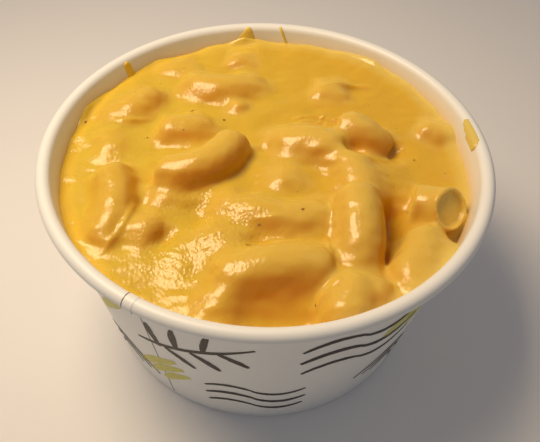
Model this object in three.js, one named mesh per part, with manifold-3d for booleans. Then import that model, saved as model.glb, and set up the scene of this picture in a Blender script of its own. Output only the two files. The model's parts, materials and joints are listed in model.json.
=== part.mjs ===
// Macaroni and cheese in a round paper tub: a wall with a rolled lip and a folded hem, a recessed
// base disc, and elbow macaroni in thick sauce. Millimetres, +Z up, origin under the base's centre.
import * as THREE from "three";
import { mergeVertices } from "three/addons/utils/BufferGeometryUtils.js";
import Module from "manifold-3d";

// Driving dimensions
const tubHeight = 50;
const rimDiameter = 96;
const footDiameter = 78;
const paper = 0.5;
const lipDiameter = 3;
const hemHeight = 5;
const baseRecess = 5.5;
const fitGap = 0.3; // between two pieces that touch
const roundSegments = 72;

// Worked out from them
const lipRadius = lipDiameter / 2;
const lipCentreRadius = rimDiameter / 2 - lipRadius;
const lipCentreHeight = tubHeight - lipRadius;
const innerFootRadius = footDiameter / 2 - paper;
const innerTopRadius = lipCentreRadius - lipRadius;
const wallSlope = (innerTopRadius - innerFootRadius) / lipCentreHeight;
const foodFloor = baseRecess + paper + fitGap;

// Sauce: mean level, the way it rises to the back of the tub, and the edge that clings to the paper
const sauceLevel = 43.5;
const sauceRiseToBack = 0.9;
const clingHeight = 0.9;
const clingWidth = 3.5;
const sauceRings = 19;
// The sauce drapes on each elbow as a soft skirt: where it starts over the axis, and how it falls
const drapeShare = 0.38;
const drapeSlope = 0.9;
const drapeSoftness = 0.8;
const drapeSteps = 8;
// Places where the sauce lies lower (negative) or higher, each a smooth mound of two radii
const sauceMounds = [
  { x: 6, y: -39, alongX: 15, alongY: 5.5, height: -3.6 },
  { x: 27, y: -15, alongX: 3.6, alongY: 8, height: -3.2 },
  { x: 39, y: -20, alongX: 4, alongY: 4.5, height: -3 },
  { x: 30.5, y: 3, alongX: 4.5, alongY: 4, height: -2.4 },
  { x: 40, y: 6, alongX: 9, alongY: 14, height: -1.1 },
  { x: -42, y: -4, alongX: 6, alongY: 10, height: -1 },
  { x: -19, y: -4, alongX: 8, alongY: 5, height: 0.4 },
  { x: -24, y: -29, alongX: 11, alongY: 6, height: -0.5 },
  { x: -36, y: 24, alongX: 6, alongY: 9, height: 0.5 },
];

// Elbow macaroni: x, y, z is the middle of a piece's axis. It runs along the heading, tipped by the
// pitch, and bends to the left (1) or right (-1), in a plane leaned up from level. Angles in degrees.
const elbowSides = 12;
const boreShare = 0.7; // bore over outside diameter
const boreDepth = 6;
const elbows = [
  // Back of the tub
  { x: -23.5, y: 35, z: 41.9, heading: 20, pitch: 0, lean: -40, turn: 1, sweep: 36, bend: 12, size: 7.4 },
  { x: -5.4, y: 36.4, z: 42, heading: 8, pitch: 0, lean: -25, turn: 1, sweep: 50, bend: 12, size: 7.6 },
  { x: -9.8, y: 26.2, z: 42.9, heading: 3, pitch: 0, lean: -20, turn: 1, sweep: 84, bend: 13, size: 8.4 },
  { x: -5.5, y: 19, z: 42.2, heading: 60, pitch: 40, lean: 0, turn: 1, sweep: 26, bend: 12, size: 6.4 },
  { x: 18, y: 24.6, z: 42, heading: -5, pitch: 0, lean: -40, turn: 1, sweep: 50, bend: 12, size: 8 },
  // Left
  { x: -31.3, y: 19.4, z: 42.6, heading: 42, pitch: 1, lean: -25, turn: 1, sweep: 68, bend: 13, size: 8.4 },
  { x: -34.5, y: 6.6, z: 41.4, heading: 10, pitch: 0, lean: -40, turn: 1, sweep: 26, bend: 12, size: 7.6 },
  { x: -32.3, y: -11.2, z: 42.4, heading: -84, pitch: -1, lean: -20, turn: -1, sweep: 76, bend: 15, size: 8.6 },
  { x: -17.6, y: 11, z: 42.9, heading: 14, pitch: -3, lean: -20, turn: 1, sweep: 64, bend: 10, size: 8.6 },
  { x: -12.6, y: -2, z: 45, heading: 32, pitch: 1, lean: -15, turn: 1, sweep: 104, bend: 11.5, size: 8.6 },
  { x: -20.8, y: -9.6, z: 40.8, heading: 30, pitch: 0, lean: -40, turn: 1, sweep: 36, bend: 12, size: 7.6 },
  { x: -22.3, y: -18.8, z: 41.9, heading: -20, pitch: 0, lean: -70, turn: 1, sweep: 40, bend: 12, size: 8.2 },
  // Middle
  { x: 10.5, y: 6.6, z: 43.4, heading: -13, pitch: 0, lean: -29, turn: -1, sweep: 82, bend: 13.5, size: 9 },
  { x: 5.2, y: -4.2, z: 41.7, heading: 20, pitch: 0, lean: -40, turn: 1, sweep: 40, bend: 12, size: 8 },
  { x: 3.6, y: -15.6, z: 41.9, heading: -3, pitch: 0, lean: -18, turn: 1, sweep: 86, bend: 13.8, size: 8.6 },
  { x: -4.8, y: -13.4, z: 41.5, heading: -20, pitch: 0, lean: -30, turn: 1, sweep: 50, bend: 12, size: 8 },
  { x: -8.7, y: -21.4, z: 41.2, heading: -30, pitch: 0, lean: -40, turn: 1, sweep: 36, bend: 12, size: 7.4 },
  // Front
  { x: 2, y: -28.5, z: 42.9, heading: 10, pitch: 0, lean: -60, turn: -1, sweep: 62, bend: 20, size: 8.8 },
  { x: -9.6, y: -36, z: 40.2, heading: 0, pitch: 0, lean: -40, turn: 1, sweep: 36, bend: 12, size: 7.6 },
  { x: 15, y: -33, z: 42.2, heading: -22, pitch: -4, lean: -60, turn: -1, sweep: 50, bend: 12, size: 8.8 },
  // Right
  { x: 19, y: -7, z: 43.2, heading: -80, pitch: -20, lean: -35, turn: -1, sweep: 50, bend: 14, size: 8.6 },
  { x: 20, y: -21.4, z: 44.2, heading: -95, pitch: -15, lean: -40, turn: -1, sweep: 92, bend: 14, size: 9.4 },
  { x: 28.2, y: -26, z: 42.6, heading: 47, pitch: 4, lean: -20, turn: 1, sweep: 38, bend: 22, size: 9.4 },
  {
    x: 33.4, y: -14.6, z: 42.4, heading: -12, pitch: 30, lean: 50, turn: -1, sweep: 50, bend: 11, size: 9.8,
    openEnd: true,
  },
  { x: 23, y: 7.8, z: 44, heading: -35, pitch: -20, lean: -70, turn: -1, sweep: 54, bend: 11, size: 8.6 },
  { x: 39.2, y: 10.4, z: 40.6, heading: -10, pitch: 0, lean: -40, turn: 1, sweep: 30, bend: 12, size: 8 },
];

const wasm = await Module();
wasm.setup();
const radians = THREE.MathUtils.degToRad;
const v2 = (x, y) => new THREE.Vector2(x, y);

// Radius of the paper's inner face at a height
function innerRadius(height) {
  return innerFootRadius + wallSlope * height;
}

// A profile of (radius, height) points turned about Z
function turned(profile) {
  const geometry = new THREE.LatheGeometry(profile, roundSegments);
  return geometry.rotateX(Math.PI / 2);
}

function toSolid(geometry) {
  const bare = geometry.clone();
  bare.deleteAttribute("normal");
  bare.deleteAttribute("uv");
  const merged = mergeVertices(bare, 1e-4);
  return new wasm.Manifold(
    new wasm.Mesh({
      numProp: 3,
      vertProperties: new Float32Array(merged.attributes.position.array),
      triVerts: new Uint32Array(merged.index.array),
    }),
  );
}

function toGeometry(solid) {
  const mesh = solid.getMesh();
  const geometry = new THREE.BufferGeometry();
  geometry.setAttribute("position", new THREE.BufferAttribute(mesh.vertProperties, 3));
  geometry.setIndex(new THREE.BufferAttribute(mesh.triVerts, 1));
  geometry.computeVertexNormals();
  return geometry;
}

// Tapered paper wall with its rolled lip, and the foot folded in and up round the base's skirt
function cupWall() {
  const slot = paper + 2 * fitGap;
  const lip = new THREE.EllipseCurve(
    lipCentreRadius, lipCentreHeight, lipRadius, lipRadius, radians(-125), radians(180), false, 0,
  );
  const profile = [
    v2(innerFootRadius + paper, 0),
    ...lip.getPoints(10),
    v2(innerRadius(paper), paper),
    v2(innerRadius(paper) - slot, paper),
    v2(innerRadius(hemHeight) - slot, hemHeight),
    v2(innerRadius(hemHeight) - slot - paper, hemHeight),
    v2(innerFootRadius - slot - paper, 0),
    v2(innerFootRadius + paper, 0),
  ];
  return turned(profile);
}

// Flat disc with a skirt that hangs into the wall's folded foot
function cupBase() {
  const discTop = baseRecess + paper;
  const skirtFoot = paper + fitGap;
  const outside = (height) => innerRadius(height) - fitGap;
  const profile = [
    v2(0, baseRecess),
    v2(outside(baseRecess) - paper, baseRecess),
    v2(outside(skirtFoot) - paper, skirtFoot),
    v2(outside(skirtFoot), skirtFoot),
    v2(outside(discTop), discTop),
    v2(0, discTop),
  ];
  return turned(profile);
}

// An elbow's axis: an arc in the leaned plane, its middle at the elbow's place
class ElbowAxis extends THREE.Curve {
  constructor(elbow) {
    super();
    const heading = radians(elbow.heading);
    const pitch = radians(elbow.pitch);
    const lean = radians(elbow.lean);
    this.elbow = elbow;
    this.middle = new THREE.Vector3(elbow.x, elbow.y, elbow.z);
    this.along = new THREE.Vector3(
      Math.cos(heading) * Math.cos(pitch), Math.sin(heading) * Math.cos(pitch), Math.sin(pitch),
    );
    const left = new THREE.Vector3(0, 0, 1).cross(this.along).normalize();
    const up = new THREE.Vector3().crossVectors(this.along, left);
    this.inward = left.multiplyScalar(elbow.turn * Math.cos(lean)).addScaledVector(up, Math.sin(lean));
  }

  getPoint(share, target = new THREE.Vector3()) {
    const angle = radians(this.elbow.sweep) * (share - 0.5);
    return target
      .copy(this.middle)
      .addScaledVector(this.along, this.elbow.bend * Math.sin(angle))
      .addScaledVector(this.inward, this.elbow.bend * (1 - Math.cos(angle)));
  }

  // The last stretch of the axis, run on a little past the end, for cutting a bore
  tail(length) {
    const arcLength = radians(this.elbow.sweep) * this.elbow.bend;
    const shares = [1 - length / arcLength, 1 - length / arcLength / 2, 1, 1 + 2 / arcLength];
    return new THREE.CatmullRomCurve3(shares.map((share) => this.getPoint(share)));
  }
}

function tubeAlong(curve, diameter, steps) {
  const section = new THREE.Shape();
  for (let side = 0; side < elbowSides; side++) {
    const angle = (2 * Math.PI * side) / elbowSides;
    const point = v2((diameter / 2) * Math.cos(angle), (diameter / 2) * Math.sin(angle));
    side ? section.lineTo(point.x, point.y) : section.moveTo(point.x, point.y);
  }
  return new THREE.ExtrudeGeometry(section, { steps, extrudePath: curve, bevelEnabled: false });
}

// Two heights joined with a soft corner between them
function softMax(a, b, softness) {
  const share = THREE.MathUtils.clamp(0.5 + (a - b) / (2 * softness), 0, 1);
  return THREE.MathUtils.lerp(b, a, share) + softness * share * (1 - share);
}

// Height of the sauce: its level, the mounds, the edge that clings to the paper, and its drape on the elbows
function sauceHeight(x, y, axes) {
  const radius = Math.hypot(x, y);
  let height = sauceLevel + sauceRiseToBack * (y / innerTopRadius);
  for (const mound of sauceMounds) {
    const reach = ((x - mound.x) / mound.alongX) ** 2 + ((y - mound.y) / mound.alongY) ** 2;
    height += mound.height * Math.exp(-reach);
  }
  const wallRadius = innerRadius(sauceLevel) - fitGap;
  const toWall = THREE.MathUtils.clamp((wallRadius - radius) / clingWidth, 0, 1);
  height += clingHeight * (1 - toWall) ** 2;
  for (const axis of axes) {
    const lastStep = axis.elbow.openEnd ? drapeSteps / 2 : drapeSteps;
    for (let step = 0; step <= lastStep; step++) {
      const point = axis.getPoint(step / drapeSteps);
      const away = Math.hypot(point.x - x, point.y - y);
      const drape = point.z + axis.elbow.size * drapeShare - away * drapeSlope;
      height = softMax(height, drape, drapeSoftness);
    }
  }
  return height;
}

// The sauce as a solid that fills the tub up to its uneven top
function sauceCore(axes) {
  const positions = [];
  const index = [];
  const at = (ring, segment) => 2 + ring * roundSegments + (segment % roundSegments);
  positions.push(0, 0, foodFloor);
  positions.push(0, 0, sauceHeight(0, 0, axes));
  for (let ring = 0; ring <= sauceRings; ring++) {
    const floorRing = ring === 0;
    const share = floorRing ? 1 : 1 - (ring - 1) / sauceRings;
    for (let segment = 0; segment < roundSegments; segment++) {
      const angle = (2 * Math.PI * segment) / roundSegments;
      const unit = v2(Math.sin(angle), Math.cos(angle));
      const topGuess = unit.clone().multiplyScalar(share * (innerRadius(sauceLevel) - fitGap));
      const height = floorRing ? foodFloor : sauceHeight(topGuess.x, topGuess.y, axes);
      const edge = floorRing || ring === 1;
      const point = edge ? unit.multiplyScalar(innerRadius(height) - fitGap) : topGuess;
      positions.push(point.x, point.y, height);
    }
  }
  for (let segment = 0; segment < roundSegments; segment++) {
    index.push(0, at(0, segment), at(0, segment + 1));
    for (let ring = 0; ring < sauceRings; ring++) {
      index.push(at(ring, segment), at(ring + 1, segment), at(ring + 1, segment + 1));
      index.push(at(ring, segment), at(ring + 1, segment + 1), at(ring, segment + 1));
    }
    index.push(at(sauceRings, segment), 1, at(sauceRings, segment + 1));
  }
  const geometry = new THREE.BufferGeometry();
  geometry.setAttribute("position", new THREE.Float32BufferAttribute(positions, 3));
  geometry.setIndex(index);
  return geometry;
}

// The whole space inside the wall, up to the lip's top
function tubInside() {
  const profile = [
    v2(0, foodFloor),
    v2(innerRadius(foodFloor) - fitGap, foodFloor),
    v2(innerRadius(lipCentreHeight) - fitGap, lipCentreHeight),
    v2(innerRadius(lipCentreHeight) - fitGap, tubHeight),
    v2(0, tubHeight),
  ];
  return turned(profile);
}

function macaroniInSauce() {
  const axes = elbows.map((elbow) => new ElbowAxis(elbow));
  const inside = toSolid(tubInside());
  let food = toSolid(sauceCore(axes));
  for (const axis of axes) {
    const steps = Math.max(4, Math.round(axis.elbow.sweep / 10));
    const piece = toSolid(tubeAlong(axis, axis.elbow.size, steps));
    food = food.add(piece.intersect(inside));
  }
  for (const axis of axes.filter((each) => each.elbow.openEnd)) {
    food = food.subtract(toSolid(tubeAlong(axis.tail(boreDepth), axis.elbow.size * boreShare, 3)));
  }
  return toGeometry(food);
}

const paperFinish = new THREE.MeshStandardMaterial({ color: 0xf1e9dc, roughness: 0.6, metalness: 0 });
const baseFinish = new THREE.MeshStandardMaterial({ color: 0xe9e1d4, roughness: 0.7, metalness: 0 });
const cheeseFinish = new THREE.MeshStandardMaterial({ color: 0xe0a93e, roughness: 0.35, metalness: 0 });

function named(name, geometry, material) {
  const mesh = new THREE.Mesh(geometry, material);
  mesh.name = name;
  return mesh;
}

const macAndCheese = new THREE.Group();
macAndCheese.add(named("cup_wall", cupWall(), paperFinish));
macAndCheese.add(named("cup_base", cupBase(), baseFinish));
macAndCheese.add(named("macaroni_in_sauce", macaroniInSauce(), cheeseFinish));

export default macAndCheese;
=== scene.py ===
# Macaroni and cheese in a round paper tub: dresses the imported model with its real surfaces.
import json
import math

import bpy
import numpy as np
from mathutils import Matrix, Vector

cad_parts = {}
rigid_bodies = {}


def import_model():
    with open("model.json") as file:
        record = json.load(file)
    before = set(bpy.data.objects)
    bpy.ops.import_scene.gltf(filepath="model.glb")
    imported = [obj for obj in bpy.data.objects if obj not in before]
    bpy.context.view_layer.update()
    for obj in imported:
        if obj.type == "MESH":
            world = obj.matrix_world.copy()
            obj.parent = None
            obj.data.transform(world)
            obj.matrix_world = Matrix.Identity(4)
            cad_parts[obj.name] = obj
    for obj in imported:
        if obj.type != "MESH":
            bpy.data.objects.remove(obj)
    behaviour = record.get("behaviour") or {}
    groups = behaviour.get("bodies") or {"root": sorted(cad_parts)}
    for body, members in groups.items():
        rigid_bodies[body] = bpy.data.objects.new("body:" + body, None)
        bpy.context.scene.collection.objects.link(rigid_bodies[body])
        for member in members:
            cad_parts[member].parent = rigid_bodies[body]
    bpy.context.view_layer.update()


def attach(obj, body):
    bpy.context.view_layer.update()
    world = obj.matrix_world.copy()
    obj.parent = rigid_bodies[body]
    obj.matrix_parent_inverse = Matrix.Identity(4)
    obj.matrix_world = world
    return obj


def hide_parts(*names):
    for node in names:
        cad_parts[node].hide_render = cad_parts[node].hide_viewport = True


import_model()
mm = 0.001
up = Vector((0, 0, 1))
samePlace = 0.002 * mm  # points closer than this are merged


def clearSelection():
    if bpy.context.object and bpy.context.object.mode != "OBJECT":
        bpy.ops.object.mode_set(mode="OBJECT")
    bpy.ops.object.select_all(action="DESELECT")


def keepAs(name):  # the object just added gets its name, and its place goes into its mesh
    piece = bpy.context.object
    piece.name = name
    piece.data.name = name
    bpy.ops.object.transform_apply(location=True, rotation=True, scale=True)
    return piece


def activate(piece):
    clearSelection()
    piece.select_set(True)
    bpy.context.view_layer.objects.active = piece


def enterEdit():
    bpy.ops.object.mode_set(mode="EDIT")


def leaveEdit():
    bpy.ops.object.mode_set(mode="OBJECT")


def editAll(piece):
    activate(piece)
    enterEdit()
    bpy.ops.mesh.select_all(action="SELECT")


def editSome(piece, chosen):  # chosen says true or false for each point
    editAll(piece)
    bpy.ops.mesh.select_mode(type="VERT")
    bpy.ops.mesh.select_all(action="DESELECT")
    leaveEdit()
    piece.data.vertices.foreach_set("select", chosen)
    enterEdit()


def selectedPoints(piece):  # true or false for each point
    selected = np.empty(len(piece.data.vertices), dtype=bool)
    piece.data.vertices.foreach_get("select", selected)
    return selected


def applyModifier(piece, kind, **settings):
    activate(piece)
    modifier = piece.modifiers.new(kind.title(), kind)
    for key, value in settings.items():
        setattr(modifier, key, value)
    bpy.ops.object.modifier_apply(modifier=modifier.name)


def joinAll(pieces, name):
    activate(pieces[0])
    for piece in pieces[1:]:
        piece.select_set(True)
    if len(pieces) > 1:
        bpy.ops.object.join()
    pieces[0].name = name
    pieces[0].data.name = name
    return pieces[0]


def outwards(piece):
    editAll(piece)
    bpy.ops.mesh.remove_doubles(threshold=samePlace)
    bpy.ops.mesh.normals_make_consistent(inside=False)
    leaveEdit()


def smoothShade(piece, angle=60):  # degrees over which an edge stays sharp
    activate(piece)
    bpy.ops.object.shade_smooth_by_angle(angle=math.radians(angle))


def placesOf(piece):  # its points in mm
    places = np.empty(len(piece.data.vertices) * 3)
    piece.data.vertices.foreach_get("co", places)
    return places.reshape(-1, 3) / mm


def movePoints(piece, places):
    piece.data.vertices.foreach_set("co", (places * mm).ravel())
    piece.data.update()


def keepOnPoints(piece, name, values):  # for its material to read
    attribute = piece.data.attributes.new(name, "FLOAT", "POINT")
    attribute.data.foreach_set("value", values)


def linear(hexColour):
    channels = [int(hexColour[i : i + 2], 16) / 255 for i in (1, 3, 5)]
    return [c / 12.92 if c <= 0.04045 else ((c + 0.055) / 1.055) ** 2.4 for c in channels] + [1]


def newMaterial(name):
    material = bpy.data.materials.new(name)
    material.use_nodes = True
    tree = material.node_tree
    return material, tree, tree.nodes["Principled BSDF"]


def setNode(tree, node, settings, links):  # by a socket's name or number, or a property's name
    for key, value in settings.items():
        if isinstance(key, int) or key in node.inputs:
            node.inputs[key].default_value = value
        else:
            setattr(node, key, value)
    for key, source in links.items():
        tree.links.new(source, node.inputs[key])


def addNode(tree, kind, settings={}, links={}):
    node = tree.nodes.new("ShaderNode" + kind)
    setNode(tree, node, settings, links)
    return node


def wear(piece, material):
    piece.data.materials.clear()
    piece.data.materials.append(material)
    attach(piece, "root")


# The camera is held in front of the tub and above it, looking down
view = {
    "place": (-3.735, -99.068, 136.964),  # mm
    "down": 48.678,  # degrees below level
    "roll": 0.424,  # degrees
    "lens": 40.953,
    "sensor": 36,
    "shift": 0.0435,
    "nearest": 5,  # mm
    "farthest": 20000,  # mm
}


def addCamera():
    bpy.ops.object.camera_add(location=Vector(view["place"]) * mm)
    camera = bpy.context.object
    camera.name = "camera"
    tipped = Matrix.Rotation(math.radians(90 - view["down"]), 3, "X")
    rolled = Matrix.Rotation(math.radians(view["roll"]), 3, "Z")
    camera.rotation_mode = "QUATERNION"
    camera.rotation_quaternion = (tipped @ rolled).to_quaternion()
    camera.data.lens = view["lens"]
    camera.data.sensor_width = view["sensor"]
    camera.data.shift_x = view["shift"]
    camera.data.clip_start = view["nearest"] * mm
    camera.data.clip_end = view["farthest"] * mm
    bpy.context.scene.camera = camera


studio = {
    "floorSize": 6,  # m
    "floorColour": "#f4f4f6",
    "floorRoughness": 0.9,
    "skyColour": "#f4f1f4",
    "skyStrength": 0.2,
    "aim": (0, 0, 45),  # mm, where the lamps point
}
lamps = {  # the way to each, its distance and size in m, and its power in W
    "key": {"way": (-0.42, 0.1, 0.9), "distance": 0.22, "size": 0.11, "power": 0.51, "colour": "#ffe3bd"},
    "fill": {"way": (0.45, 0.4, 0.8), "distance": 0.6, "size": 0.2, "power": 0.1, "colour": "#ffe0c0"},
}


def addLamp(name, settings):
    direction = Vector(settings["way"]).normalized()
    target = Vector(studio["aim"]) * mm
    bpy.ops.object.light_add(type="AREA", location=target + direction * settings["distance"])
    lamp = bpy.context.object
    lamp.name = name
    lamp.rotation_euler = direction.to_track_quat("Z", "Y").to_euler()
    lamp.data.size = settings["size"]
    lamp.data.energy = settings["power"]
    lamp.data.color = linear(settings["colour"])[:3]


def addStudio():
    clearSelection()
    bpy.ops.mesh.primitive_plane_add(size=studio["floorSize"])
    floor = keepAs("floor")
    material, tree, shader = newMaterial("matt card")
    colour = linear(studio["floorColour"])
    setNode(tree, shader, {"Base Color": colour, "Roughness": studio["floorRoughness"]}, {})
    floor.data.materials.append(material)
    for name, settings in lamps.items():
        addLamp(name, settings)
    world = bpy.data.worlds.new("sky")
    world.use_nodes = True
    background = world.node_tree.nodes["Background"]
    background.inputs["Color"].default_value = linear(studio["skyColour"])
    background.inputs["Strength"].default_value = studio["skyStrength"]
    bpy.context.scene.world = world
    bpy.context.scene.view_settings.view_transform = "Standard"


tub = {
    "around": 192,  # steps round the tub
    "height": 49.93,  # mm
    "rimWidth": 96,
    "footWidth": 78,
    "paper": 0.5,
    "lipWidth": 3,
    "curlSteps": 24,
    "curlTurn": 318,  # degrees the lip is rolled
    "curlTightens": 0.45,  # mm the roll closes in by its end
    "curlTightensFrom": 0.55,  # share of the roll
    "wallSteps": 28,
    "wallStart": 1.2,  # mm up, where the fold of the foot ends
    "foldSteps": 5,
    "foldFlat": 0.45,  # height of the fold, as a share of a round one
    "hemHeight": 5,
    "hemGap": 1.1,  # room in the folded foot for the base's skirt
    "baseRecess": 5.5,
    "skirtGap": 0.3,  # from the wall to the base's skirt
    "skirtHeights": (0.9, 3),
    "corner": 0.5,  # where the skirt turns into the base
    "cornerCut": 0.15,
    "baseRings": (30, 20, 10, 1),  # radii
    "sharpest": 50,  # degrees
}
lipRadius = tub["lipWidth"] / 2
lipCentreRadius = tub["rimWidth"] / 2 - lipRadius
lipCentreHeight = tub["height"] - lipRadius
innerFoot = tub["footWidth"] / 2 - tub["paper"]
innerSlope = (lipCentreRadius - lipRadius - innerFoot) / lipCentreHeight


def innerRadius(height):  # of the paper's inner face, mm
    return innerFoot + innerSlope * height


def onTub(reach, turn, height):  # places in mm from arrays of mm, radians round the tub and mm up
    return np.stack([reach * np.cos(turn), reach * np.sin(turn), height], axis=1)


# Turns a route of (radius, height) stops in mm round the tub's axis. Its start and its end can be
# closed with a face.
def turnRoute(name, around, route, closeStart=False, closeEnd=False):
    radius, height = route[0]
    clearSelection()
    bpy.ops.mesh.primitive_circle_add(
        vertices=around, radius=radius * mm, fill_type="NOTHING", location=(0, 0, height * mm)
    )
    piece = keepAs(name)
    editAll(piece)
    if closeStart:
        bpy.ops.mesh.edge_face_add()
    for nextRadius, nextHeight in route[1:]:
        bpy.ops.mesh.extrude_edges_move()
        grow = nextRadius / radius
        bpy.ops.transform.resize(value=(grow, grow, 1), center_override=(0, 0, 0))
        bpy.ops.transform.translate(value=(0, 0, (nextHeight - height) * mm))
        radius, height = nextRadius, nextHeight
    if closeEnd:
        bpy.ops.mesh.edge_face_add()
    leaveEdit()
    return piece


def paperMiddle(height):  # radius of the middle of the wall's paper
    return innerRadius(height) + tub["paper"] / 2


def wallRoute():  # the middle of the paper: hem, folded foot, wall and rolled lip
    half = tub["paper"] / 2
    foldRadius = (tub["hemGap"] + tub["paper"]) / 2
    foldCentre = paperMiddle(foldRadius) - foldRadius
    route = [(paperMiddle(tub["hemHeight"]) - 2 * foldRadius, tub["hemHeight"] - half)]
    for step in range(tub["foldSteps"] + 1):
        angle = math.pi * (1 + step / tub["foldSteps"])
        height = half + foldRadius * tub["foldFlat"] * (1 + math.sin(angle))
        route.append((foldCentre + foldRadius * math.cos(angle), height))
    for step in range(1, tub["wallSteps"] + 1):
        height = tub["wallStart"] + (lipCentreHeight - tub["wallStart"]) * step / tub["wallSteps"]
        route.append((paperMiddle(height), height))
    for step in range(1, tub["curlSteps"] + 1):
        share = step / tub["curlSteps"]
        angle = math.pi - math.radians(tub["curlTurn"]) * share
        radius = lipRadius - half - tub["curlTightens"] * max(0, share - tub["curlTightensFrom"])
        height = lipCentreHeight + radius * math.sin(angle)
        route.append((lipCentreRadius + radius * math.cos(angle), height))
    return route


def makeWall():
    wall = turnRoute("tub_wall", tub["around"], wallRoute())
    outwards(wall)
    applyModifier(wall, "SOLIDIFY", thickness=tub["paper"] * mm, offset=0, use_even_offset=True)
    smoothShade(wall, tub["sharpest"])
    return wall


def skirtRadius(height):  # of the middle of the base's paper where it hangs into the fold
    return innerRadius(height) - tub["skirtGap"] - tub["paper"] / 2


def baseRoute():  # the middle of the paper: skirt, rounded corner and disc
    disc = tub["baseRecess"] + tub["paper"] / 2
    corner, cut = tub["corner"], tub["cornerCut"]
    route = [(skirtRadius(height), height) for height in (*tub["skirtHeights"], disc - corner)]
    route += [(skirtRadius(disc) - cut, disc - cut), (skirtRadius(disc) - corner, disc)]
    return route + [(radius, disc) for radius in tub["baseRings"]]


def makeBase():
    base = turnRoute("tub_base", tub["around"], baseRoute(), closeEnd=True)
    outwards(base)
    applyModifier(base, "SOLIDIFY", thickness=tub["paper"] * mm, offset=0)
    smoothShade(base, tub["sharpest"])
    return base


# Print round the outside: brush strokes in ink over soft dabs. A stroke is its start, its middle and
# its end in mm along and up the paper from the middle of its motif, and its width.
motifs = {
    "sprig": [
        (-9, -5, -1, -1, 9, 5, 0.9),
        (-5, -3.6, -6.4, 0.4, -6.8, 3, 1.2),
        (-2, -1.6, -2.8, 2.2, -2.6, 5, 1.2),
        (2, 0.8, 1.8, 4, 2.6, 7, 1.1),
        (-4, -3, -1.4, -4.4, 0.8, -6.6, 1.2),
        (0, -0.8, 2.8, -2.2, 4.6, -4.6, 1.2),
        (4, 1.8, 6.6, 0.6, 8.6, -1.4, 1.1),
    ],
    "arches": [
        (-9, -5.5, -0.5, 12.5, 8.5, -5.5, 1.2),
        (-6.4, -5.5, -0.4, 7.6, 6, -5.4, 1.1),
        (-3.8, -5.4, -0.2, 2.4, 3.4, -5.5, 1),
    ],
    "dashes": [
        (-6, -3, -5, 0, -3.6, 3.4, 1.3),
        (-1.4, -4, -0.6, 0, 0.6, 4, 1.4),
        (3.2, -3.2, 4.2, 0.4, 5.6, 3.2, 1.2),
    ],
    "waves": [
        (-10, 3, -5.4, 7, -0.6, 3.2, 1),
        (-0.8, 3.2, 4, -0.2, 9.4, 3.4, 1),
        (-10, -1, -5.2, 3, -0.4, -0.8, 1.2),
        (-0.6, -0.8, 4.2, -4.4, 9.6, -0.8, 1.2),
        (-9.6, -5, -5, -1.2, -0.4, -4.8, 1),
        (-0.6, -4.8, 4.2, -8.2, 9.2, -4.8, 1),
    ],
    "drops": [
        (-5, 2.6, -4.6, 3.6, -4.4, 4.8, 1.8),
        (0, -3.6, 0.4, -2.6, 0.6, -1.2, 1.9),
        (4.6, 1.8, 5, 2.8, 5, 4, 1.7),
        (-7.8, -3, -7.4, -2.4, -7.2, -1.6, 1.1),
        (8.6, -3.6, 8.8, -2.8, 9, -2.2, 1.1),
        (0.4, 5, 0.6, 5.6, 0.8, 6.2, 1),
    ],
}
dabs = [
    (-7, 2, 0, 3.4, 7.6, 2, 2.6),
    (-6, -0.6, 0.6, 0.8, 6.6, -0.8, 2.4),
    (-4.6, -3.4, 0, -2.2, 5.2, -3.4, 2.2),
]
printPlan = {
    "columns": 8,
    "rows": (  # height in mm, size, shift by part of a column, and the motifs in turn
        (14, 1.1, 0, ("sprig", "arches", "waves", "arches")),
        (34, 1.35, 0.5, ("dashes", "sprig", "waves", "drops")),
    ),
    "astray": 0.1,  # of a column, most
    "tilt": 24,  # degrees, most
    "dabsAside": 0.4,  # of a column from their motif
    "dabsOver": 2,  # mm over it
    "dabsTilt": 0.7,  # radians more than it
    "steps": 10,  # along a stroke
    "blunt": 0.15,  # share of its width at a stroke's very end
    "startsAt": 0.06,  # of the swell of the brush
    "endsAt": 0.96,
    "swellPower": 0.5,
    "uneven": 0.12,
    "lift": 0.02,  # mm over the paper
    "depth": 0.03,
    "seed": 11,
}


def addStroke(stroke, turn, height, size, tilt, dice, lift):
    startX, startY, midX, midY, endX, endY, width = stroke
    clearSelection()
    bpy.ops.mesh.primitive_grid_add(x_subdivisions=printPlan["steps"], y_subdivisions=2, size=2 * mm)
    strip = keepAs("stroke")
    spots = placesOf(strip)
    along = (spots[:, 0] + 1) / 2
    across = spots[:, 1]
    x = (1 - along) ** 2 * startX + 2 * along * (1 - along) * midX + along**2 * endX
    y = (1 - along) ** 2 * startY + 2 * along * (1 - along) * midY + along**2 * endY
    aheadX = (1 - along) * (midX - startX) + along * (endX - midX)
    aheadY = (1 - along) * (midY - startY) + along * (endY - midY)
    aheadLength = np.hypot(aheadX, aheadY) + 0.001  # never nothing
    swell = printPlan["startsAt"] + (printPlan["endsAt"] - printPlan["startsAt"]) * along
    swell = np.sin(np.pi * swell) ** printPlan["swellPower"]
    full = printPlan["blunt"] + (1 - printPlan["blunt"]) * swell
    half = width / 2 * full * (1 + dice.uniform(-1, 1, len(along)) * printPlan["uneven"])
    x, y = x - across * half * aheadY / aheadLength, y + across * half * aheadX / aheadLength
    over = height + size * (x * math.sin(tilt) + y * math.cos(tilt))
    reach = innerRadius(over) + tub["paper"] + lift
    here = turn + size * (x * math.cos(tilt) - y * math.sin(tilt)) / reach
    movePoints(strip, onTub(reach, here, over))
    return strip


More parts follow.
